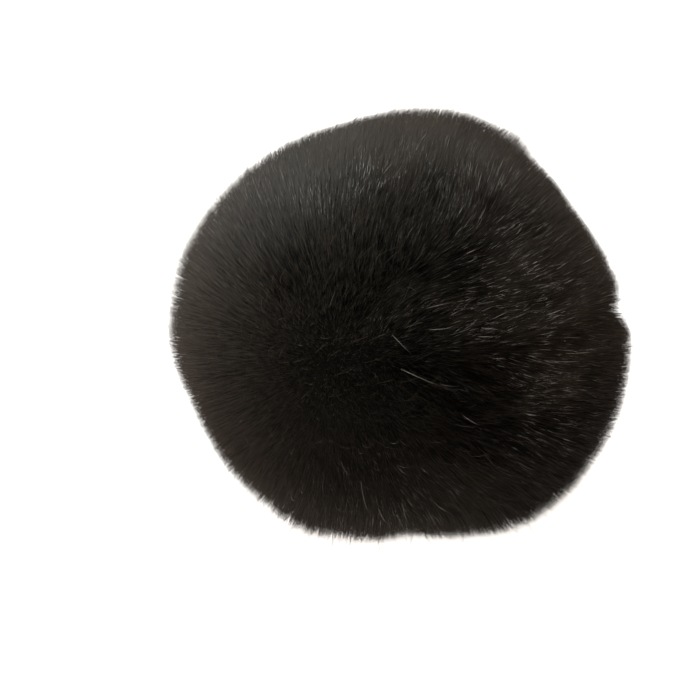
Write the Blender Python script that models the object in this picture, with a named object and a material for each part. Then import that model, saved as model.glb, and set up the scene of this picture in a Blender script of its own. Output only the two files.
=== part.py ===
# A round fur pom pom, resting on a flat spot under it: one ball of dense pile, with the
# tips of its locks standing out all round. Metres, +Z up, the origin on the floor in the
# middle of the flat spot. The fur's fullest face looks towards -Y.

import math
from collections import namedtuple

import bmesh
import bpy
import numpy as np
from mathutils import Vector

# Driving sizes, in metres
WIDTH = 0.0828  # across the tips of the longest locks
MIDDLE_HEIGHT = 0.0365  # the ball's middle above the floor
TOP_REACH = 0.0386  # from the middle up to the tips, a little less than half the width
LOCK_DEPTH = 0.0075  # how far the tips stand out of the dense pile
FLOOR_GAP = 0.0003  # between the floor and the locks that lie nearest to it
HEART = Vector((-0.0126, -0.0033, -0.006))  # where all the pile grows from, off the middle

# Locks
LOCK_COUNT = 300  # places for locks all round, of which those under the ball stay empty
ROOT_SINK = 0.0025  # how deep a root is fused into the dense pile
SHORTEST_LOCK = 0.0025
RAGGED = 0.0012  # how much shorter than its neighbours a lock may be
PLACE_JITTER = 0.16  # of the space between two locks
CURL = 0.0016  # how far a tip is swept sideways
SEED = 11

# Angles from straight down, in degrees
MATTED_WITHIN, LOOSE_BEYOND = 19, 30  # the pile is matted flat, and stands loose
BARE_WITHIN = 23.5  # no lock has its root here
SPLAYED_WITHIN, LEANING_BEYOND = 35, 80  # locks splay evenly, and lean away from the heart

BODY_DETAIL = 3  # subdivisions of the icosphere that the dense pile starts from
FINE_BELOW = -0.75  # height on the unit ball under which its edges are cut finer
FINE_CUTS = 2
WELD = 0.00001

Swell = namedtuple("Swell", "azimuth elevation rise spread")
Parting = namedtuple("Parting", "azimuth elevation to_azimuth to_elevation depth spread")
Ring = namedtuple("Ring", "along half_width")

# Directions from the middle in degrees, with -Y at azimuth -90; rise and depth in metres
SWELLS = (
    Swell(azimuth=-32, elevation=-38, rise=0.0028, spread=27),
    Swell(azimuth=17, elevation=27, rise=-0.0032, spread=20),
    Swell(azimuth=122, elevation=56, rise=-0.0013, spread=18),
    Swell(azimuth=-168, elevation=-19, rise=-0.0015, spread=12),
    Swell(azimuth=-132, elevation=-52, rise=0.0018, spread=14),
    Swell(azimuth=-76, elevation=-59, rise=-0.0021, spread=13),
    Swell(azimuth=57, elevation=55, rise=0.0010, spread=15),
    Swell(azimuth=151, elevation=40, rise=-0.0006, spread=20),
    Swell(azimuth=-178, elevation=-2, rise=0.0004, spread=24),
    Swell(azimuth=-8, elevation=-14, rise=0.0006, spread=17),
    Swell(azimuth=-58, elevation=31, rise=0.0018, spread=14),
    Swell(azimuth=-120, elevation=5, rise=0.0008, spread=22),
    Swell(azimuth=42, elevation=-16, rise=0.0012, spread=20),
    Swell(azimuth=104, elevation=4, rise=0.0014, spread=24),
    Swell(azimuth=150, elevation=-26, rise=-0.0011, spread=18),
)
PARTINGS = (
    Parting(azimuth=20, elevation=52, to_azimuth=-38, to_elevation=57, depth=0.0014, spread=7),
    Parting(azimuth=-38, elevation=57, to_azimuth=-88, to_elevation=45, depth=0.0012, spread=8),
    Parting(azimuth=-12, elevation=13, to_azimuth=-62, to_elevation=19, depth=0.0006, spread=6),
    Parting(azimuth=-62, elevation=19, to_azimuth=-92, to_elevation=20, depth=0.0012, spread=8),
    Parting(azimuth=-55, elevation=-2, to_azimuth=-88, to_elevation=-8, depth=0.0010, spread=8),
    Parting(azimuth=-88, elevation=-48, to_azimuth=-98, to_elevation=-28, depth=0.0010, spread=6),
    Parting(azimuth=-175, elevation=12, to_azimuth=-148, to_elevation=16, depth=0.0010, spread=6),
    Parting(azimuth=62, elevation=36, to_azimuth=112, to_elevation=24, depth=0.0014, spread=7),
    Parting(azimuth=140, elevation=-8, to_azimuth=172, to_elevation=-34, depth=0.0012, spread=7),
    Parting(azimuth=66, elevation=-22, to_azimuth=112, to_elevation=-34, depth=0.0012, spread=7),
)

# A lock's half width at places along it, as a share of the way from root to tip
LOCK_RINGS = (
    Ring(along=0.0, half_width=0.0044),
    Ring(along=0.58, half_width=0.0034),
    Ring(along=1.0, half_width=0.0),
)


def clear_scene():
    for obj in list(bpy.data.objects):
        bpy.data.objects.remove(obj)


def towards(azimuth, elevation):
    """The unit vector in a direction given in degrees."""
    turn, rise = math.radians(azimuth), math.radians(elevation)
    return Vector((math.cos(turn) * math.cos(rise), math.sin(turn) * math.cos(rise), math.sin(rise)))


def smooth_step(value, low, high):
    share = min(1.0, max(0.0, (value - low) / (high - low)))
    return share * share * (3 - 2 * share)


def hump(angle, spread):
    """1 in the middle of a feature and about a third at its spread, both in degrees."""
    return math.exp(-((angle / spread) ** 2))


def angle_between(a, b):
    return math.degrees(math.acos(max(-1.0, min(1.0, a.dot(b)))))


def angle_from_line(direction, start, end):
    """Degrees from a direction to the nearest point of the arc from start to end."""
    chord = end - start
    share = (direction - start).dot(chord) / chord.length_squared
    nearest = start + chord * min(1.0, max(0.0, share))
    return angle_between(direction, nearest.normalized())


def reach(direction):
    """How far the tips of the pile are from the ball's middle, in a direction."""
    sideways = math.hypot(direction.x, direction.y) / (WIDTH / 2)
    upright = direction.z / TOP_REACH
    distance = 1 / math.hypot(sideways, upright)
    for swell in SWELLS:
        angle = angle_between(direction, towards(swell.azimuth, swell.elevation))
        distance += swell.rise * hump(angle, swell.spread)
    for parting in PARTINGS:
        start = towards(parting.azimuth, parting.elevation)
        end = towards(parting.to_azimuth, parting.to_elevation)
        distance -= parting.depth * hump(angle_from_line(direction, start, end), parting.spread)
    return distance


def from_below(direction):
    return angle_between(direction, Vector((0, 0, -1)))


def dense_reach(direction):
    """How far the dense pile is from the middle, which is out to the tips where it is matted."""
    loose = smooth_step(from_below(direction), MATTED_WITHIN, LOOSE_BEYOND)
    return reach(direction) - LOCK_DEPTH * loose


def fur_material():
    fur = bpy.data.materials.new("black_fur")
    fur.use_nodes = True
    shader = fur.node_tree.nodes["Principled BSDF"]
    shader.inputs["Base Color"].default_value = (0.012, 0.010, 0.008, 1)
    shader.inputs["Roughness"].default_value = 0.6
    shader.inputs["Metallic"].default_value = 0.0
    return fur


def make_dense_pile(collection):
    """The dense inner pile: a lumpy ball with a flat spot on the floor."""
    shape = bmesh.new()
    bmesh.ops.create_icosphere(shape, subdivisions=BODY_DETAIL, radius=1.0)
    under = [edge for edge in shape.edges if all(vert.co.z < FINE_BELOW for vert in edge.verts)]
    bmesh.ops.subdivide_edges(shape, edges=under, cuts=FINE_CUTS, use_grid_fill=True)
    middle = Vector((0, 0, MIDDLE_HEIGHT))
    for vert in shape.verts:
        direction = vert.co.normalized()
        vert.co = middle + direction * dense_reach(direction)
    cut = bmesh.ops.bisect_plane(
        shape,
        geom=shape.verts[:] + shape.edges[:] + shape.faces[:],
        plane_co=(0, 0, 0),
        plane_no=(0, 0, -1),
        clear_outer=True,
    )
    rim = [item for item in cut["geom_cut"] if isinstance(item, bmesh.types.BMEdge)]
    bmesh.ops.holes_fill(shape, edges=rim)
    bmesh.ops.recalc_face_normals(shape, faces=shape.faces)
    mesh = bpy.data.meshes.new("pom_pom")
    shape.to_mesh(mesh)
    shape.free()
    mesh.shade_smooth()
    ball = bpy.data.objects.new("pom_pom", mesh)
    collection.objects.link(ball)
    return ball


def lock_directions(rng):
    """Even places for the locks on a sphere, along a golden-angle spiral, each moved a little."""
    golden = math.pi * (3 - math.sqrt(5))
    space = math.sqrt(4 * math.pi / LOCK_COUNT)
    for index in range(LOCK_COUNT):
        height = 1 - (2 * index + 1) / LOCK_COUNT
        ring = math.sqrt(1 - height * height)
        even = Vector((ring * math.cos(golden * index), ring * math.sin(golden * index), height))
        yield (even + Vector(rng.uniform(-1, 1, 3)) * PLACE_JITTER * space).normalized()


def lock_points(direction, rng):
    """A lock's ring centres and half widths, or None where no lock fits above the floor."""
    middle = Vector((0, 0, MIDDLE_HEIGHT))
    root = direction * dense_reach(direction)
    lean = smooth_step(from_below(direction), SPLAYED_WITHIN, LEANING_BEYOND)
    growth = (root - HEART * lean).normalized()
    depth = reach(direction) - dense_reach(direction)
    tip_direction = (root + growth * depth).normalized()
    tip = tip_direction * (reach(tip_direction) - rng.uniform(0, RAGGED))
    if (tip - root).length < SHORTEST_LOCK:
        return None
    root -= growth * ROOT_SINK
    curl = Vector(rng.uniform(-1, 1, 3)) * CURL
    curl -= growth * curl.dot(growth)
    points = []
    for ring in LOCK_RINGS:
        centre = middle + root.lerp(tip, ring.along) + curl * ring.along**2
        half_width = ring.half_width
        if centre.z - half_width < FLOOR_GAP:  # it lies level on the floor instead
            half_width = min(half_width, max(centre.z, 0) / 2)
            centre.z = max(centre.z, FLOOR_GAP + half_width)
        points.append((centre, half_width))
    return points


def make_locks(collection):
    """All the locks as one curve with four sides to a lock, then as one mesh."""
    rng = np.random.default_rng(SEED)
    curve = bpy.data.curves.new("locks", "CURVE")
    curve.dimensions = "3D"
    curve.bevel_depth = 1.0
    curve.bevel_resolution = 0
    curve.use_fill_caps = True
    for direction in lock_directions(rng):
        points = lock_points(direction, rng)
        turn = rng.uniform(0, math.pi / 2)
        if points is None or from_below(direction) < BARE_WITHIN:
            continue
        spline = curve.splines.new("POLY")
        spline.points.add(len(points) - 1)
        for point, (centre, half_width) in zip(spline.points, points):
            point.co = (*centre, 1)
            point.radius = half_width
            point.tilt = turn
    drawn = bpy.data.objects.new("locks_curve", curve)
    collection.objects.link(drawn)
    bpy.context.view_layer.update()
    graph = bpy.context.evaluated_depsgraph_get()
    mesh = bpy.data.meshes.new_from_object(drawn.evaluated_get(graph))
    bpy.data.objects.remove(drawn)
    welded = bmesh.new()
    welded.from_mesh(mesh)
    bmesh.ops.remove_doubles(welded, verts=welded.verts, dist=WELD)
    bmesh.ops.recalc_face_normals(welded, faces=welded.faces)
    welded.to_mesh(mesh)
    welded.free()
    locks = bpy.data.objects.new("locks", mesh)
    locks.hide_render = True
    locks.display_type = "WIRE"
    collection.objects.link(locks)
    return locks


def fuse_roots(ball, locks):
    union = ball.modifiers.new("locks", "BOOLEAN")
    union.operation = "UNION"
    union.solver = "EXACT"
    union.use_self = True  # the locks also cross each other at their roots
    union.object = locks


def main():
    clear_scene()
    parts = bpy.data.collections.new("Fur pom pom")
    helpers = bpy.data.collections.new("Joined shapes")
    for collection in (parts, helpers):
        bpy.context.scene.collection.children.link(collection)
    ball = make_dense_pile(parts)
    ball.data.materials.append(fur_material())
    fuse_roots(ball, make_locks(helpers))


main()
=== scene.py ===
# A black fur pom pom: a dark coat under a pile of separate hairs. Metres, +Z up, the floor at z = 0.
import math

import bpy
import numpy as np
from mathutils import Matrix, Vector, kdtree, noise


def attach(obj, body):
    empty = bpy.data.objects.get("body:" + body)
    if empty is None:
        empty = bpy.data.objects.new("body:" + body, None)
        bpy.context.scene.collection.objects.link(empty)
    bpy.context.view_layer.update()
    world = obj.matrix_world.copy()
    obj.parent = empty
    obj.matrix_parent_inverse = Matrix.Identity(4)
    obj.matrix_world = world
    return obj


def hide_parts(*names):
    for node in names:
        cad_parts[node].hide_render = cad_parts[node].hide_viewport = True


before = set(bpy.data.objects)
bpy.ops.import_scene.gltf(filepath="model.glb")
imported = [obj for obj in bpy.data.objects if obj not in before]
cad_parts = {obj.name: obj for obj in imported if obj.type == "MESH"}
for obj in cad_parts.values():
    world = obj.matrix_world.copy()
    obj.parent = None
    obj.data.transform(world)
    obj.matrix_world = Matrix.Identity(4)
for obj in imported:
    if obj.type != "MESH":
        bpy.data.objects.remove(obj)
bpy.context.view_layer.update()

# The ball, whose lie follows the solid's with some more swells and partings
ball = {
    "width": 0.0834,  # across the tips of the pile
    "middleHeight": 0.0365,
    "topReach": 0.0389,  # from the middle up to the tips
    "heart": (-0.0126, -0.0033, -0.006),  # where all the pile grows from, off the middle
    "floorGap": 0.0001,
    "seed": 23,
}
# Directions in degrees with -Y at azimuth -90, rise and depth in metres, spread in degrees
swells = [
    {"azimuth": -32, "elevation": -38, "rise": 0.0028, "spread": 27, "edge": 2},
    {"azimuth": 17, "elevation": 27, "rise": -0.0032, "spread": 20, "edge": 2},
    {"azimuth": 122, "elevation": 56, "rise": -0.0013, "spread": 18, "edge": 2},
    {"azimuth": -168, "elevation": -19, "rise": -0.0015, "spread": 12, "edge": 2},
    {"azimuth": -132, "elevation": -52, "rise": 0.0018, "spread": 14, "edge": 2},
    {"azimuth": -76, "elevation": -59, "rise": -0.0021, "spread": 13, "edge": 2},
    {"azimuth": -118, "elevation": -57, "rise": -0.0014, "spread": 5, "edge": 2},
    {"azimuth": -41, "elevation": -49, "rise": 0.0006, "spread": 8, "edge": 2},
    {"azimuth": -100, "elevation": -60, "rise": 0.0007, "spread": 5, "edge": 2},
    {"azimuth": 6, "elevation": 9, "rise": -0.0009, "spread": 5, "edge": 2},
    {"azimuth": 171, "elevation": 15, "rise": 0.0005, "spread": 7, "edge": 2},
    {"azimuth": 57, "elevation": 55, "rise": 0.0010, "spread": 15, "edge": 2},
    {"azimuth": 39, "elevation": 47, "rise": 0.0010, "spread": 5, "edge": 4},
    {"azimuth": 151, "elevation": 40, "rise": -0.0006, "spread": 20, "edge": 2},
    {"azimuth": -178, "elevation": -2, "rise": 0.0006, "spread": 24, "edge": 2},
    {"azimuth": -8, "elevation": -14, "rise": 0.0006, "spread": 17, "edge": 8},
    {"azimuth": 2, "elevation": 2, "rise": -0.0012, "spread": 3.5, "edge": 2},
    {"azimuth": -58, "elevation": 31, "rise": 0.0018, "spread": 14, "edge": 2},
    {"azimuth": -120, "elevation": 5, "rise": 0.0008, "spread": 22, "edge": 2},
    {"azimuth": 42, "elevation": -16, "rise": 0.0012, "spread": 20, "edge": 2},
    {"azimuth": 104, "elevation": 4, "rise": 0.0014, "spread": 24, "edge": 2},
    {"azimuth": 150, "elevation": -26, "rise": -0.0011, "spread": 18, "edge": 2},
]
partings = [
    {"start": (-23, 17), "end": (28, -12), "depth": 0.0007, "spread": 4},
    {"start": (20, 52), "end": (-38, 57), "depth": 0.0014, "spread": 7},
    {"start": (-38, 57), "end": (-88, 45), "depth": 0.0012, "spread": 8},
    {"start": (-12, 13), "end": (-62, 19), "depth": 0.0009, "spread": 5},
    {"start": (-62, 19), "end": (-92, 20), "depth": 0.0012, "spread": 8},
    {"start": (-55, -2), "end": (-88, -8), "depth": 0.0010, "spread": 8},
    {"start": (-88, -48), "end": (-98, -28), "depth": 0.0010, "spread": 6},
    {"start": (-175, 12), "end": (-148, 16), "depth": 0.0010, "spread": 6},
    {"start": (62, 36), "end": (112, 24), "depth": 0.0014, "spread": 7},
    {"start": (140, -8), "end": (172, -34), "depth": 0.0012, "spread": 7},
    {"start": (66, -22), "end": (112, -34), "depth": 0.0012, "spread": 7},
]
combed = 0.25  # how far the hairs beside a parting lean away from it
# Where the pile is brushed aside, and which way and how far
brushed = [
    {"azimuth": -64, "elevation": 31, "spread": 15, "push": (0.09, -0.09, -0.16)},
    {"azimuth": -46, "elevation": 83, "spread": 18, "push": (-0.15, 0.01, 0.02)},
    {"azimuth": -31, "elevation": 58, "spread": 18, "push": (-0.30, 0.08, 0.15)},
    {"azimuth": -68, "elevation": -20, "spread": 11, "push": (0.08, 0.10, 0.18)},
    {"azimuth": -81, "elevation": 1, "spread": 12, "push": (-0.08, -0.08, -0.15)},
    {"azimuth": -91, "elevation": -17, "spread": 11, "push": (0.16, 0.06, 0.11)},
]
# Where the hairs lie smoothly side by side, and how evenly they are coloured from root to tip
sleek = [
    {"azimuth": -146, "elevation": 15, "spread": 34, "calm": 0.8, "even": 0.3},
    {"azimuth": -90, "elevation": 70, "spread": 28, "calm": 0.45, "even": 0.15},
    {"azimuth": -107, "elevation": 16, "spread": 18, "calm": 0.1, "even": 0.5},
]
# Painted light and shade: where the coat is made lighter where light falls and darker where shade falls,
# as a share of the way from the darkest tone to the lightest
paintedLightAndShade = [
    {"azimuth": -68, "elevation": 34, "spread": 9, "paintedLight": 0.25},
    {"azimuth": -143, "elevation": 68, "spread": 16, "paintedLight": 0.33},
    {"azimuth": -160, "elevation": 52, "spread": 14, "paintedLight": 0.26},
    {"azimuth": -2, "elevation": 72, "spread": 14, "paintedLight": 0.10},
    {"azimuth": -76, "elevation": 49, "spread": 16, "paintedLight": -0.31},
    {"azimuth": -110, "elevation": 13, "spread": 22, "paintedLight": 0.23},
    {"azimuth": -72, "elevation": 8, "spread": 16, "paintedLight": -0.38},
    {"azimuth": -38, "elevation": -12, "spread": 18, "paintedLight": -0.36},
    {"azimuth": -41, "elevation": -30, "spread": 20, "paintedLight": -0.38},
    {"azimuth": -40, "elevation": 32, "spread": 22, "paintedLight": 0.02},
    {"azimuth": -90, "elevation": -17, "spread": 14, "paintedLight": 0.12},
    {"azimuth": -59, "elevation": 20, "spread": 7, "paintedLight": 0.60},
    {"azimuth": -75, "elevation": 38, "spread": 7, "paintedLight": -0.48},
    {"azimuth": -66, "elevation": -7, "spread": 9, "paintedLight": -0.41},
    {"azimuth": -77, "elevation": 28, "spread": 7, "paintedLight": 0.22},
    {"azimuth": -56, "elevation": 54, "spread": 9, "paintedLight": 0.34},
    {"azimuth": -88, "elevation": 45, "spread": 9, "paintedLight": 0.08},
    {"azimuth": -56, "elevation": 36, "spread": 6, "paintedLight": 0.48},
    {"azimuth": -54, "elevation": 29, "spread": 6, "paintedLight": -0.42},
    {"azimuth": -38, "elevation": 50, "spread": 9, "paintedLight": -0.24},
    {"azimuth": -62, "elevation": 48, "spread": 8, "paintedLight": -0.42},
    {"azimuth": -112, "elevation": 60, "spread": 8, "paintedLight": -0.11},
    {"azimuth": -68, "elevation": 68, "spread": 8, "paintedLight": -0.27},
    {"azimuth": -100, "elevation": 50, "spread": 10, "paintedLight": -0.15},
    {"azimuth": -109, "elevation": 79, "spread": 9, "paintedLight": 0.20},
    {"azimuth": -88, "elevation": 34, "spread": 8, "paintedLight": 0.11},
    {"azimuth": -35, "elevation": 17, "spread": 7, "paintedLight": 0.31},
    {"azimuth": -48, "elevation": 6, "spread": 7, "paintedLight": 0.44},
    {"azimuth": -71, "elevation": -20, "spread": 8, "paintedLight": 0.29},
    {"azimuth": -107, "elevation": 33, "spread": 8, "paintedLight": -0.25},
    {"azimuth": -61, "elevation": 15, "spread": 5, "paintedLight": -0.26},
    {"azimuth": -131, "elevation": 37, "spread": 8, "paintedLight": -0.34},
    {"azimuth": -117, "elevation": 69, "spread": 7, "paintedLight": -0.23},
    {"azimuth": -88, "elevation": 29, "spread": 6, "paintedLight": -0.28},
    {"azimuth": -55, "elevation": 2, "spread": 5, "paintedLight": 0.10},
    {"azimuth": -38, "elevation": 13, "spread": 4, "paintedLight": -0.16},
    {"azimuth": 60, "elevation": 80, "spread": 14, "paintedLight": 0.27},
    {"azimuth": 155, "elevation": 70, "spread": 12, "paintedLight": 0.22},
    {"azimuth": -45, "elevation": 62, "spread": 12, "paintedLight": -0.06},
    {"azimuth": -61, "elevation": 3, "spread": 6, "paintedLight": 0.27},
    {"azimuth": -88, "elevation": 18, "spread": 6, "paintedLight": -0.32},
    {"azimuth": -47, "elevation": 44, "spread": 6, "paintedLight": 0.11},
    {"azimuth": -65, "elevation": 22, "spread": 4, "paintedLight": -0.25},
    {"azimuth": -59, "elevation": 41, "spread": 6, "paintedLight": 0.24},
    {"azimuth": 178, "elevation": 8, "spread": 20, "paintedLight": 0.06},
]
middle = np.array([0, 0, ball["middleHeight"]])
heart = np.array(ball["heart"])
rng = np.random.default_rng(ball["seed"])


def towards(azimuth, elevation):
    turn, rise = math.radians(azimuth), math.radians(elevation)
    return np.array([math.cos(turn) * math.cos(rise), math.sin(turn) * math.cos(rise), math.sin(rise)])


def unit(vectors):
    return vectors / np.linalg.norm(vectors, axis=-1, keepdims=True)


def smoothStep(value, low, high):
    share = np.clip((value - low) / (high - low), 0, 1)
    return share * share * (3 - 2 * share)


def degreesBetween(directions, other):
    return np.degrees(np.arccos(np.clip((directions * other).sum(-1), -1, 1)))


# Degrees from straight down
def fromBelow(directions):
    return degreesBetween(directions, np.array([0, 0, -1]))


# 1 in the middle of a patch, falling to nothing round it
def nearness(directions, patch, edge=2):
    angle = degreesBetween(directions, towards(patch["azimuth"], patch["elevation"]))
    return np.exp(-((angle / patch["spread"]) ** edge))


def nearestOnParting(directions, parting):
    start, end = towards(*parting["start"]), towards(*parting["end"])
    chord = end - start
    share = np.clip((directions - start) @ chord / (chord @ chord), 0, 1)
    return unit(start + share[:, None] * chord)


# How far the tips of the pile are from the ball's middle
def reachOf(directions):
    sideways = np.hypot(directions[:, 0], directions[:, 1]) / (ball["width"] / 2)
    distance = 1 / np.hypot(sideways, directions[:, 2] / ball["topReach"])
    for swell in swells:
        distance += swell["rise"] * nearness(directions, swell, swell["edge"])
    for parting in partings:
        angle = degreesBetween(directions, nearestOnParting(directions, parting))
        distance -= parting["depth"] * np.exp(-((angle / parting["spread"]) ** 2))
    return distance


# Which way the hairs lean where the pile is brushed, and beside a parting, away from it
def combOf(directions):
    comb = np.zeros_like(directions)
    for patch in brushed:
        comb += nearness(directions, patch)[:, None] * np.array(patch["push"])
    for parting in partings:
        nearest = nearestOnParting(directions, parting)
        share = degreesBetween(directions, nearest) / parting["spread"]
        away = directions - nearest
        away /= np.linalg.norm(away, axis=1, keepdims=True) + 1e-6
        comb += away * (combed * share * np.exp(0.5 - share**2))[:, None]
    return comb


# 1 where the hairs stray freely, less where they lie smoothly
def unrulyOf(directions):
    unruly = np.ones((len(directions), 1))
    for patch in sleek:
        unruly *= 1 - patch["calm"] * nearness(directions, patch)[:, None]
    return unruly


# Painted light and shade at these directions: above 0 lighter, below 0 darker
def paintedLightOf(directions):
    return sum(patch["paintedLight"] * nearness(directions, patch) for patch in paintedLightAndShade)


# Even places on a sphere, along a golden-angle spiral, each moved by up to a share of their spacing
def evenPlaces(count, share):
    index = np.arange(count)
    height = 1 - (2 * index + 1) / count
    ring = np.sqrt(1 - height * height)
    turn = math.pi * (3 - math.sqrt(5)) * index
    even = np.stack([ring * np.cos(turn), ring * np.sin(turn), height], axis=1)
    spacing = math.sqrt(4 * math.pi / count)
    return unit(even + rng.uniform(-1, 1, (count, 3)) * share * spacing)


def deselectAll():
    for each in bpy.context.selected_objects:
        each.select_set(False)


# ---- shader maths: an expression on values adds its nodes
class Value:
    def __init__(self, tree, socket=None):
        self.tree, self.socket = tree, socket

    def node(self, kind, settings=None, out=0, **inputs):
        made = self.tree.nodes.new(kind)
        for name, setting in (settings or {}).items():
            setattr(made, name, setting)
        for name, given in inputs.items():
            slot = made.inputs[int(name[1:])] if name[1:].isdigit() else made.inputs[name]
            if isinstance(given, Value):
                self.tree.links.new(given.socket, slot)
            else:
                slot.default_value = given
        return Value(self.tree, made.outputs[out])

    def maths(self, operation, a, b):
        return self.node("ShaderNodeMath", {"operation": operation}, i0=a, i1=b)

    def __add__(self, other):
        return self.maths("ADD", self, other)

    def __radd__(self, other):
        return self.maths("ADD", other, self)

    def __sub__(self, other):
        return self.maths("SUBTRACT", self, other)

    def __rsub__(self, other):
        return self.maths("SUBTRACT", other, self)

    def __mul__(self, other):
        return self.maths("MULTIPLY", self, other)

    def __rmul__(self, other):
        return self.maths("MULTIPLY", other, self)

    def __truediv__(self, other):
        return self.maths("DIVIDE", self, other)

    def __pow__(self, power):
        return self.maths("POWER", self, power)

    def floor(self):
        return self.maths("FLOOR", self, 0)

    def atLeast(self, low):
        return self.maths("MAXIMUM", self, low)

    def random(self):
        return self.node("ShaderNodeTexWhiteNoise", {"noise_dimensions": "1D"}, W=self)

    # From one colour to another, by this value from 0 to 1
    def blend(self, first, second):
        return self.node("ShaderNodeMix", {"data_type": "RGBA"}, 2, i0=self, i6=first, i7=second)

    def into(self, shader, name):
        self.tree.links.new(self.socket, shader.inputs[name])


def opaque(colour):
    return (*colour, 1)


def newMaterial(name):
    material = bpy.data.materials.new(name)
    material.use_nodes = True
    return material, Value(material.node_tree), material.node_tree.nodes["Principled BSDF"]


# ---- camera, floor and light
view = {
    "elevation": 30,
    "distance": 0.5,
    "lens": 143,
    "right": 0.0089,  # how far right of the picture's middle the ball's middle is, and how far up
    "up": 0.0045,
    "pixels": 700,  # across the photograph, which is square
    "steps": 300,  # along a ray from the camera, each half as long as what is left to the pile
}


def placeCamera():
    rise = math.radians(view["elevation"])
    back = Vector((0, -math.cos(rise), math.sin(rise)))
    up = Vector((0, math.sin(rise), math.cos(rise)))
    aim = Vector(middle) - Vector((view["right"], 0, 0)) - up * view["up"]
    data = bpy.data.cameras.new("camera")
    data.lens = view["lens"]
    camera = bpy.data.objects.new("camera", data)
    camera.location = aim + back * view["distance"]
    camera.rotation_euler = (math.pi / 2 - rise, 0, 0)
    bpy.context.scene.collection.objects.link(camera)
    bpy.context.scene.camera = camera


# Directions from the ball's middle to the pile's tips, where the camera sees them at these pixels
def seenAt(pixels):
    camera = bpy.context.scene.camera
    across = (np.array(pixels) / view["pixels"] - 0.5) * camera.data.sensor_width
    ahead = np.full(len(pixels), -camera.data.lens)
    turned = np.array(camera.rotation_euler.to_matrix())
    rays = unit(np.stack([across[:, 0], -across[:, 1], ahead], axis=1)) @ turned.T
    point = np.tile(np.array(camera.location) - middle, (len(pixels), 1))
    for step in range(view["steps"]):
        above = np.linalg.norm(point, axis=1) - reachOf(unit(point))
        point += rays * above[:, None] / 2
    return unit(point)


studio = {
    "floor": (0.35, 0.35, 0.35),
    "floorRoughness": 0.9,
    "floorGlow": 1.12,
    "floorGlowColour": (1.0, 0.955, 0.90),
    "floorSize": 6.0,
    "lampDistance": 0.8,
    "lampSize": 0.5,
}
lamps = [
    {"name": "window", "azimuth": -165, "elevation": 18, "power": 4.6, "colour": (1.0, 0.93, 0.86)},
    {"name": "window_high", "azimuth": -150, "elevation": 65, "power": 2.4, "colour": (0.66, 1.0, 0.97)},
    {"name": "left_behind", "azimuth": 165, "elevation": 18, "power": 1.9, "colour": (1.0, 0.60, 0.70)},
    {"name": "behind", "azimuth": 130, "elevation": 18, "power": 2.8, "colour": (0.60, 0.95, 1.0)},
    {"name": "overhead", "azimuth": 90, "elevation": 65, "power": 5.6, "colour": (0.89, 0.92, 1.0)},
    {"name": "right_high", "azimuth": 30, "elevation": 65, "power": 2.1, "colour": (1.0, 0.70, 0.50)},
    {"name": "right", "azimuth": 15, "elevation": 18, "power": 0.6, "colour": (1.0, 0.55, 0.30)},
]
# A narrow, soft-edged lamp for the cool sheen at the upper left
sheenLamp = {
    "azimuth": -150,
    "elevation": 65,
    "power": 8.0,
    "colour": (0.32, 0.67, 1.0),
    "onto": (-169, 54),  # the middle of the sheen, on the ball
    "cone": 3.2,  # degrees across
}


# Hangs a lamp round the ball and turns it to a point, given from the ball's middle
def hangLamp(name, data, lamp, onto):
    data.energy = lamp["power"]
    data.color = lamp["colour"]
    away = Vector(towards(lamp["azimuth"], lamp["elevation"])) * studio["lampDistance"]
    placed = bpy.data.objects.new(name, data)
    placed.location = Vector(middle) + away
    placed.rotation_euler = (onto - away).to_track_quat("-Z", "Y").to_euler()
    bpy.context.scene.collection.objects.link(placed)


def addLamp(lamp):
    data = bpy.data.lights.new(lamp["name"], "AREA")
    data.shape = "DISK"
    data.size = studio["lampSize"]
    hangLamp(lamp["name"], data, lamp, Vector((0, 0, 0)))


def addSheenLamp():
    data = bpy.data.lights.new("sheen", "SPOT")
    data.spot_size = math.radians(sheenLamp["cone"])
    data.spot_blend = 1
    hangLamp("sheen", data, sheenLamp, Vector(towards(*sheenLamp["onto"])) * ball["topReach"])


def layFloor():
    deselectAll()
    bpy.ops.mesh.primitive_plane_add(size=studio["floorSize"])
    floor = bpy.context.active_object
    floor.name = "floor"
    paper, _, shader = newMaterial("white_paper")
    shader.inputs["Base Color"].default_value = opaque(studio["floor"])
    shader.inputs["Roughness"].default_value = studio["floorRoughness"]
    shader.inputs["Emission Color"].default_value = opaque(studio["floorGlowColour"])
    shader.inputs["Emission Strength"].default_value = studio["floorGlow"]
    floor.data.materials.append(paper)


def buildStudio():
    world = bpy.data.worlds.new("studio")
    world.use_nodes = True
    world.node_tree.nodes["Background"].inputs["Strength"].default_value = 0
    bpy.context.scene.world = world
    bpy.context.scene.view_settings.view_transform = "Standard"
    for lamp in lamps:
        addLamp(lamp)
    addSheenLamp()
    layFloor()


# ---- the undercoat
undercoat = {
    "detail": 6,  # subdivisions of its icosphere
    "depth": 0.0038,  # under the tips of the pile
    # how much deeper it sinks where painted shade darkens the coat
    "deeperUnderPaintedShade": 0.005,
    "lift": 0.0010,  # of its flat spot, off the floor
    "lumps": 0.0005,
    "lumpScale": 10.4,
    "darkFluff": (0.0065, 0.0055, 0.0045),
    "lightFluff": (0.0155, 0.0125, 0.0100),
    "fluffScale": 900.0,
    "fluffDetail": 6.0,
    "fluffHeight": 0.0006,
    "roughness": 0.9,
    "specular": 0.1,
}


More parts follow.
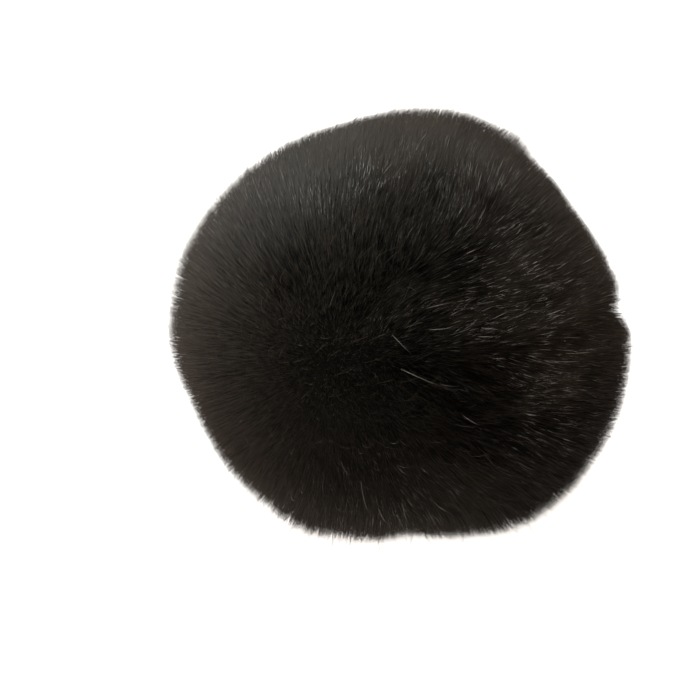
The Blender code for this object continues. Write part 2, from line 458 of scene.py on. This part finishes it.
def undercoatMaterial():
    material, maths, shader = newMaterial("deep_fur")
    place = maths.node("ShaderNodeTexCoord", out="Object")
    scale, detail = undercoat["fluffScale"], undercoat["fluffDetail"]
    fluff = place.node("ShaderNodeTexNoise", Vector=place, Scale=scale, Detail=detail)
    colour = fluff.blend(opaque(undercoat["darkFluff"]), opaque(undercoat["lightFluff"]))
    colour.into(shader, "Base Color")
    fluff.node("ShaderNodeBump", Distance=undercoat["fluffHeight"], Height=fluff).into(shader, "Normal")
    shader.inputs["Roughness"].default_value = undercoat["roughness"]
    shader.inputs["Specular IOR Level"].default_value = undercoat["specular"]
    return material


def makeUndercoat():
    deselectAll()
    bpy.ops.mesh.primitive_ico_sphere_add(subdivisions=undercoat["detail"], radius=1)
    coat = bpy.context.active_object
    coat.name = "undercoat"
    directions = unit(np.array([vert.co for vert in coat.data.vertices]))
    lumps = np.array([noise.noise(Vector(each * undercoat["lumpScale"])) for each in directions])
    distance = reachOf(directions) - undercoat["depth"] + undercoat["lumps"] * lumps
    # The undercoat sinks deeper where painted shade darkens the coat, so the gaps there look darker
    distance += undercoat["deeperUnderPaintedShade"] * np.minimum(paintedLightOf(directions), 0)
    places = middle + directions * distance[:, None]
    places[:, 2] = np.maximum(places[:, 2], undercoat["lift"])
    coat.data.vertices.foreach_set("co", places.ravel())
    coat.data.update()
    coat.data.shade_smooth()
    coat.data.materials.append(undercoatMaterial())
    return coat


# ---- how the hairs look
# Their map has the tone across it, from dark to light, and up it the way from root to tip
hairLook = {
    "tones": 40,
    "lightest": 0.999,  # the end of the last tone
    # Dark roots and lighter brown tips: partly the fur's own colour, partly painted rim light on the tips
    "root": (0.0061, 0.0048, 0.0038),
    "tip": (0.0605, 0.0484, 0.0382),
    "tipLightness": (-0.03, 1.73),  # of the darkest tone, and what it gains by the lightest
    "paleRootsFrom": 0.3,  # the tones from here up have paler roots too
    "paleRoots": 1.5,
    "glintTones": 0.6,  # the tones from here up have a painted glint: a light band near the tip
    "glint": (1.0, 0.93, 0.86),
    "glintBand": (0.60, 0.86),  # lowest and highest middle of that band
    "glintLength": (0.06, 0.30),
    "shorter": 1.5,  # above 1, more of the bands are short
    "anotherDraw": 100,  # how far apart a tone's two random numbers are drawn
    "roughness": 0.5,
    "specular": 0.05,
}


def hairMaterial():
    material, maths, shader = newMaterial("black_fur")
    place = maths.node("ShaderNodeUVMap", {"uv_map": "OFBake"})
    tone, along = (place.node("ShaderNodeSeparateXYZ", out=axis, i0=place) for axis in (0, 1))
    column = (tone * hairLook["tones"]).floor()
    shade = column / hairLook["tones"]
    darkest, gain = hairLook["tipLightness"]
    atRoot = (shade - hairLook["paleRootsFrom"]).atLeast(0) * hairLook["paleRoots"]
    lightness = along * (gain * shade + darkest) + (1 - along) * atRoot
    ground = lightness.blend(opaque(hairLook["root"]), opaque(hairLook["tip"]))
    # The painted glint: a light band near the tip, on the tones from glintTones up
    low, high = hairLook["glintBand"]
    short, long = hairLook["glintLength"]
    length = short + (long - short) * (column + hairLook["anotherDraw"]).random() ** hairLook["shorter"]
    off = (along - (low + (high - low) * column.random())) / length
    band = (1 - off * off).atLeast(0)
    strength = (shade - hairLook["glintTones"]) / (1 - hairLook["glintTones"])
    colour = (band * strength.atLeast(0)).blend(ground, opaque(hairLook["glint"]))
    colour.into(shader, "Base Color")
    shader.inputs["Roughness"].default_value = hairLook["roughness"]
    shader.inputs["Specular IOR Level"].default_value = hairLook["specular"]
    return material


# The tone of a hair whose painted glint, a light band near its tip, is this bright, from 0 to 1
def glintTone(bright):
    return hairLook["glintTones"] + (hairLook["lightest"] - hairLook["glintTones"]) * bright


# ---- how the hairs grow
# Locks of three sizes: how far each pulls its hairs' tips together, leans, and differs in tone and in the
# brightness of its painted glints (shine)
locks = [
    {"count": 300, "pull": 0.05, "lean": 0.05, "tone": 0.01, "shine": (0.55, 1.45)},
    {"count": 2400, "pull": 0.035, "lean": 0.035, "tone": 0.01, "shine": (0.4, 1.6)},
    {"count": 16000, "pull": 0.02, "lean": 0.02, "tone": 0.01, "shine": (0.8, 1.2)},
]
# Hair piles in metres. Depth is from the tips down to the roots, ragged how far under the pile's reach
# the tips end and beyond how far over it. Swept is how much the hairs lean away from the heart's side,
# arch how far up a hair its bend is, and bend how far that is off. Glints is the share with a painted
# glint, a light band near the tip, faint how many of those bands are faint, and bandFrom where the root
# is on the map: higher makes longer bands.
underfur = {
    "count": 190000,
    "stations": (0, 1),
    "halfWidths": (0.00007, 0.0),
    "depth": (0.0065, 0.0080),
    "ragged": 0.0005,
    "beyond": 0.0001,
    "swept": 1.0,
    "arch": 0.5,
    "bend": 0.0,
    "stray": 0.09,
    "tone": (0.20, 0.28),
    "glints": 0.45,
    "faint": 7.0,
    "bandFrom": 0.01,
}
overhair = {
    "count": 12000,
    "stations": (0, 0.6, 1),
    "halfWidths": (0.00004, 0.000037, 0.0),
    "depth": (0.007, 0.010),
    "ragged": 0.0005,
    "beyond": 0.0002,
    "swept": 1.1,
    "arch": 0.7,
    "bend": 0.1,
    "stray": 0.10,
    "tone": (0.2, 0.3),
    "glints": 0.95,
    "faint": 5.0,
    "bandFrom": 0.01,
}
longHairs = {
    "count": 1400,
    "stations": (0, 0.2, 0.4, 0.55, 0.7, 0.85, 1),
    "halfWidths": (0.00004, 0.00004, 0.00004, 0.00004, 0.00003, 0.00003, 0.0),
    "depth": (0.010, 0.014),
    "ragged": 0.0002,
    "beyond": 0.0006,
    "swept": 1.5,
    "arch": 0.9,
    "bend": 0.1,
    "stray": 0.18,
    "tone": (0.2, 0.3),
    "glints": 1.0,
    "faint": 1.2,
    "bandFrom": 0.40,
}
thickness = (0.75, 1.25)  # of a hair, thinnest and thickest
unevenness = {"locks": 0.3, "hairs": 0.5}  # of their places
# Angles in degrees from straight down
underside = {
    "splayed": (12, 30),  # the hairs are splayed up to the first, and not from the second on
    "splay": 0.005,
    "mattedDepth": 0.0007,
    "swept": (35, 80),  # the hairs aren't swept up to the first, and fully from the second on
}
# Where the painted glints, light bands near the tips, show most, as on a coat that is turned to the light
glinting = [
    {"azimuth": -68, "elevation": 33, "spread": 9, "strength": 1.30},
    {"azimuth": -51, "elevation": 21, "spread": 15, "strength": 1.15},
    {"azimuth": -56, "elevation": 36, "spread": 6, "strength": 0.55},
    {"azimuth": -86, "elevation": 34, "spread": 5, "strength": 0.50},
    {"azimuth": -94, "elevation": 31, "spread": 5, "strength": 0.28},
    {"azimuth": -101, "elevation": 28, "spread": 4, "strength": 0.19},
    {"azimuth": -52, "elevation": -4, "spread": 14, "strength": 0.75},
    {"azimuth": -43, "elevation": 33, "spread": 29, "strength": 0.38},
    {"azimuth": -42, "elevation": 64, "spread": 20, "strength": 0.30},
    {"azimuth": -93, "elevation": -24, "spread": 16, "strength": 0.56},
    {"azimuth": -146, "elevation": 59, "spread": 10, "strength": 0.52},
    {"azimuth": -125, "elevation": 70, "spread": 8, "strength": 0.45},
    {"azimuth": -93, "elevation": 79, "spread": 8, "strength": 0.38},
    {"azimuth": 120, "elevation": 20, "spread": 50, "strength": 0.44},
]
leastGlint = 0.04
fewerGlints = 0.8  # fewer painted glints where painted shade darkens the coat
# Where the pile's tips are more uneven
loose = [
    {"azimuth": 170, "elevation": 25, "spread": 45, "more": 1.2},
    {"azimuth": -120, "elevation": -57, "spread": 22, "more": 1.6},
]


# Which lock each hair belongs to, at three sizes of lock
class Lie:
    def __init__(self):
        self.levels = []
        for level in locks:
            centres = evenPlaces(level["count"], unevenness["locks"])
            tree = kdtree.KDTree(level["count"])
            for index, centre in enumerate(centres):
                tree.insert(centre, index)
            tree.balance()
            lean = rng.normal(0, level["lean"], centres.shape)
            tone = rng.normal(0, level["tone"], level["count"])
            shine = rng.uniform(*level["shine"], level["count"])
            self.levels.append((level, tree, centres, lean, tone, shine))

    def gather(self, directions):
        gathered = directions.copy()
        lean = np.zeros_like(directions)
        tone, shine = np.zeros(len(directions)), np.ones(len(directions))
        for level, tree, centres, leans, tones, shines in self.levels:
            nearest = np.array([tree.find(each)[1] for each in directions])
            gathered += (centres[nearest] - directions) * level["pull"]
            lean += leans[nearest]
            tone += tones[nearest]
            shine *= shines[nearest]
        return unit(gathered), lean, tone, shine


def bezier(root, bend, tip, along):
    return (1 - along) ** 2 * root + 2 * along * (1 - along) * bend + along**2 * tip


# Hairs that reach the floor splay out along it
def layOnFloor(spine, below):
    outward = spine[:, -1, :2] / (np.linalg.norm(spine[:, -1, :2], axis=1, keepdims=True) + 1e-9)
    splay = underside["splay"] * (1 - smoothStep(below, *underside["splayed"]))
    along = np.linspace(0, 1, spine.shape[1])
    spine[:, :, :2] += outward[:, None, :] * splay[:, None, None] * (along**2)[None, :, None]
    lowest = ball["floorGap"] + rng.uniform(0, underside["mattedDepth"], len(spine))[:, None]
    spine[:, :, 2] = np.maximum(spine[:, :, 2], lowest)
    return spine


# The points of each hair from root to tip
def shapeHairs(kind, directions, gathered, lean):
    count = len(directions)
    depth = rng.uniform(*kind["depth"], count)[:, None]
    below = fromBelow(directions)
    root = directions * (reachOf(directions)[:, None] - depth)
    growth = unit(root - heart * kind["swept"] * smoothStep(below, *underside["swept"])[:, None])
    stray = rng.normal(0, kind["stray"], (count, 3))
    unruly = unrulyOf(directions)
    growth = unit(growth + combOf(directions) + (lean + stray) * unruly)
    tipDirections = unit(unit(root + growth * depth) + (gathered - directions) * unruly)
    under = np.abs(rng.normal(0, kind["ragged"], count)) - np.abs(rng.normal(0, kind["beyond"], count))
    under *= unruly[:, 0]
    for patch in loose:
        under *= 1 + patch["more"] * nearness(directions, patch)
    tip = tipDirections * (reachOf(tipDirections) - under)[:, None]
    bend = root + unit(directions + growth) * depth * kind["arch"]
    bend += rng.normal(0, kind["bend"], (count, 3)) * depth
    spine = np.stack([bezier(root, bend, tip, along) for along in kind["stations"]], axis=1) + middle
    return layOnFloor(spine, below)


def toneHairs(kind, directions, lockTone, shine):
    count = len(directions)
    paintedLight = paintedLightOf(directions)
    # Painted light and shade raise or lower each hair's tone, and thin out the painted glints where dark
    plain = rng.uniform(*kind["tone"], count) + lockTone + paintedLight
    plain = np.clip(plain, 0, hairLook["glintTones"] - 0.001)
    lit = leastGlint + sum(patch["strength"] * nearness(directions, patch) for patch in glinting)
    bright = np.minimum(rng.uniform(0, 1, count) ** kind["faint"] * lit * shine, 1)
    glints = rng.uniform(0, 1, count) < kind["glints"] * (1 + fewerGlints * np.minimum(paintedLight, 0))
    return np.where(glints, glintTone(bright), plain)


# The points of each hair, its half widths, its tone and where its map starts
def growHairs(kind, directions, lie):
    gathered, lean, lockTone, shine = lie.gather(directions)
    spine = shapeHairs(kind, directions, gathered, lean)
    tones = toneHairs(kind, directions, lockTone, shine)
    widths = np.array(kind["halfWidths"]) * rng.uniform(*thickness, len(directions))[:, None]
    evenly = sum(patch["even"] * nearness(directions, patch) for patch in sleek)[:, None]
    mapFrom = kind["bandFrom"] + (1 - kind["bandFrom"]) * evenly
    return spine, widths, tones, mapFrom


# ---- hairs as solid pieces
# One hair as a three-sided cone, modelled once for each kind
def modelHair(name, stations):
    deselectAll()
    bpy.ops.mesh.primitive_circle_add(vertices=3, radius=1, fill_type="NGON")
    hair = bpy.context.active_object
    hair.name = name
    bpy.ops.object.mode_set(mode="EDIT")
    bpy.ops.mesh.select_all(action="SELECT")
    for low, high in zip(stations, stations[1:]):
        bpy.ops.mesh.extrude_region_move(TRANSFORM_OT_translate={"value": (0, 0, high - low)})
    bpy.ops.mesh.merge(type="CENTER")
    bpy.ops.mesh.select_all(action="SELECT")
    bpy.ops.mesh.normals_make_consistent(inside=False)
    bpy.ops.object.mode_set(mode="OBJECT")
    return hair


hairMap = {
    "rootEnd": [(0.1, 0.0), (0.5, 0.0), (0.3, 0.04)],  # the places of the root's end face
    "margin": 0.08,  # left free at both sides of a tone
    "top": 0.99,  # where the tips are
}


# A modelled hair to copy: its section, the station of each point, its faces and their map
class HairPattern:
    def __init__(self, name, stations):
        hair = modelHair(name, stations)
        points = np.array([vert.co for vert in hair.data.vertices])
        self.section = points[:, :2]
        self.along = points[:, 2]
        self.station = np.argmin(np.abs(self.along[:, None] - np.array(stations)), axis=1)
        self.faces = [list(face.vertices) for face in hair.data.polygons]
        self.loops = np.array([index for face in self.faces for index in face])
        self.starts = np.cumsum([0] + [len(face) for face in self.faces])[:-1]
        self.map = np.array([place for face in self.faces for place in self.mapOf(face)])
        bpy.data.objects.remove(hair)

    # A side of the hair takes a third of its tone's width, and the tip the middle of that
    def mapOf(self, face):
        along = self.along[face]
        if along.max() == 0:
            return hairMap["rootEnd"]
        around = np.degrees(np.arctan2(self.section[face, 1], self.section[face, 0])) % 360 / 360
        foot = around[along == along.min()]
        start = foot.max() if foot.max() - foot.min() > 0.5 else foot.min()
        across = np.where(along == 1, start + 1 / 6, start + (around - start) % 1) % 1
        return list(zip(across, along))


# Copies the pattern along every spine, turned at random round it, into one mesh
def plantHairs(name, pattern, spine, widths, tones, mapFrom, material):
    count, size = len(spine), len(pattern.section)
    chord = unit(spine[:, -1] - spine[:, 0])
    side = unit(np.cross(chord, rng.normal(0, 1, (count, 3))))
    across = np.cross(chord, side)
    thick = widths[:, pattern.station][:, :, None]
    co = spine[:, pattern.station]
    co = co + thick * (pattern.section[:, 0][None, :, None] * side[:, None, :])
    co = co + thick * (pattern.section[:, 1][None, :, None] * across[:, None, :])
    co[:, :, 2] = np.maximum(co[:, :, 2], ball["floorGap"] / 2)
    mesh = bpy.data.meshes.new(name)
    first = np.arange(count)[:, None]
    mesh.vertices.add(count * size)
    mesh.vertices.foreach_set("co", co.ravel())
    mesh.loops.add(count * len(pattern.loops))
    mesh.loops.foreach_set("vertex_index", (first * size + pattern.loops).ravel())
    mesh.polygons.add(count * len(pattern.faces))
    mesh.polygons.foreach_set("loop_start", (first * len(pattern.loops) + pattern.starts).ravel())
    column = np.floor(tones * hairLook["tones"])[:, None]
    inside = hairMap["margin"] + (1 - 2 * hairMap["margin"]) * pattern.map[:, 0]
    uv = np.empty((count, len(pattern.loops), 2))
    uv[:, :, 0] = (column + inside) / hairLook["tones"]
    uv[:, :, 1] = mapFrom + (hairMap["top"] - mapFrom) * pattern.map[:, 1]
    mesh.uv_layers.new(name="OFBake").data.foreach_set("uv", uv.ravel())
    mesh.update(calc_edges=True)
    mesh.validate()
    mesh.shade_smooth()
    mesh.materials.append(material)
    pile = bpy.data.objects.new(name, mesh)
    bpy.context.scene.collection.objects.link(pile)
    return pile


quarters = ("_front_right", "_back_right", "_back_left", "_front_left")


def quarterOf(directions):
    turn = np.degrees(np.arctan2(directions[:, 1], directions[:, 0])) % 360
    return ((turn + 90) % 360 // 90).astype(int)


# A pile all over the ball, in one piece or in quarters
def makePile(name, kind, lie, material, endings=("",)):
    pattern = HairPattern(name + "_pattern", kind["stations"])
    directions = evenPlaces(kind["count"], unevenness["hairs"])
    grown = growHairs(kind, directions, lie)
    part = quarterOf(directions) % len(endings)
    piles = []
    for index, ending in enumerate(endings):
        hairs = [each[part == index] for each in grown]
        piles.append(plantHairs(name + ending, pattern, *hairs, material))
    print(name, "planted:", kind["count"], "hairs")
    return piles


# Light hairs that lie over the pile, given as pixels in the photograph: the pixel where each comes out
# of the pile, the pixel of its tip, and how light it is
# Their lightness is partly their own pale colour, partly a painted glint along the hair
singleHairs = [
    {"root": (401, 370), "tip": (459, 392), "light": 0.8},
    {"root": (392, 335), "tip": (413, 355), "light": 0.6},
    {"root": (540, 318), "tip": (568, 305), "light": 1.0},
    {"root": (578, 266), "tip": (597, 254), "light": 1.0},
    {"root": (543, 335), "tip": (553, 330), "light": 0.8},
    {"root": (483, 328), "tip": (502, 330), "light": 0.7},
    {"root": (480, 337), "tip": (498, 336), "light": 0.7},
    {"root": (430, 330), "tip": (460, 327), "light": 0.8},
    {"root": (427, 308), "tip": (455, 302), "light": 0.6},
    {"root": (440, 385), "tip": (460, 385), "light": 0.4},
    {"root": (328, 307), "tip": (344, 280), "light": 0.4},
    {"root": (367, 277), "tip": (387, 244), "light": 0.3},
    {"root": (367, 342), "tip": (393, 330), "light": 0.3},
    {"root": (525, 396), "tip": (536, 393), "light": 0.9},
    {"root": (557, 389), "tip": (578, 392), "light": 1.0},
    {"root": (523, 413), "tip": (533, 414), "light": 0.9},
    {"root": (555, 362), "tip": (580, 360), "light": 0.6},
    {"root": (490, 358), "tip": (507, 359), "light": 0.5},
    {"root": (515, 238), "tip": (521, 224), "light": 0.9},
    {"root": (498, 222), "tip": (504, 216), "light": 0.6},
    {"root": (499, 170), "tip": (502, 158), "light": 0.7},
    {"root": (471, 261), "tip": (479, 256), "light": 0.8},
    {"root": (456, 234), "tip": (462, 228), "light": 0.6},
    {"root": (340, 464), "tip": (354, 474), "light": 0.6},
    {"root": (290, 456), "tip": (297, 445), "light": 0.5},
    {"root": (301, 496), "tip": (306, 480), "light": 0.5},
    {"root": (322, 480), "tip": (327, 496), "light": 0.5},
    {"root": (360, 484), "tip": (372, 514), "light": 0.6},
    {"root": (378, 512), "tip": (392, 522), "light": 0.7},
    {"root": (402, 506), "tip": (409, 522), "light": 0.6},
    {"root": (396, 468), "tip": (414, 474), "light": 0.5},
    {"root": (407, 500), "tip": (418, 506), "light": 0.4},
    {"root": (293, 504), "tip": (295, 484), "light": 0.4},
    {"root": (420, 467), "tip": (430, 471), "light": 0.9},
    {"root": (464, 417), "tip": (480, 424), "light": 0.6},
    {"root": (551, 424), "tip": (582, 420), "light": 0.9},
    {"root": (525, 414), "tip": (539, 413), "light": 1.0},
    {"root": (520, 465), "tip": (534, 467), "light": 0.6},
    {"root": (238, 422), "tip": (250, 417), "light": 0.4},
    {"root": (248, 182), "tip": (252, 192), "light": 0.6},
    {"root": (300, 346), "tip": (302, 343), "light": 0.8},
    {"root": (333, 415), "tip": (335, 412), "light": 1.0},
    {"root": (319, 338), "tip": (332, 338), "light": 0.3},
]
singleHair = {
    "stations": (0, 0.2, 0.4, 0.6, 0.8, 1),
    "halfWidths": (0.00003, 0.00003, 0.00003, 0.00003, 0.000025, 0.0),
    "rootDepth": 0.0008,
    "arch": 0.0018,  # of its bend, over the tips of the pile
    "tipOver": 0.0004,
    "light": 0.36,  # of the lightest, as a painted glint
    "bandFrom": 0.55,
}


def makeSingleHairs(material):
    pattern = HairPattern("single_hair_pattern", singleHair["stations"])
    start = seenAt([hair["root"] for hair in singleHairs])
    end = seenAt([hair["tip"] for hair in singleHairs])
    halfway = unit(start + end)
    root = start * (reachOf(start) - singleHair["rootDepth"])[:, None]
    bend = halfway * (reachOf(halfway) + singleHair["arch"])[:, None]
    tip = end * (reachOf(end) + singleHair["tipOver"])[:, None]
    spine = np.stack([bezier(root, bend, tip, along) for along in singleHair["stations"]], axis=1) + middle
    tones = glintTone(singleHair["light"] * np.array([hair["light"] for hair in singleHairs]))
    widths = np.array(singleHair["halfWidths"]) * np.ones((len(singleHairs), 1))
    mapFrom = np.full((len(singleHairs), 1), singleHair["bandFrom"])
    return plantHairs("light_hairs", pattern, spine, widths, tones, mapFrom, material)


def dress(piece):
    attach(piece, "root")
    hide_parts("pom_pom")


placeCamera()
buildStudio()
print("camera, floor and lights are in place")
fur = hairMaterial()
lie = Lie()
pieces = [makeUndercoat()]
print("undercoat made")
pieces += makePile("underfur", underfur, lie, fur, quarters)
pieces += makePile("overhair", overhair, lie, fur)
pieces += makePile("long_hairs", longHairs, lie, fur)
pieces.append(makeSingleHairs(fur))
print("faces of each piece:", [(piece.name, len(piece.data.polygons)) for piece in pieces])
for piece in pieces:
    dress(piece)
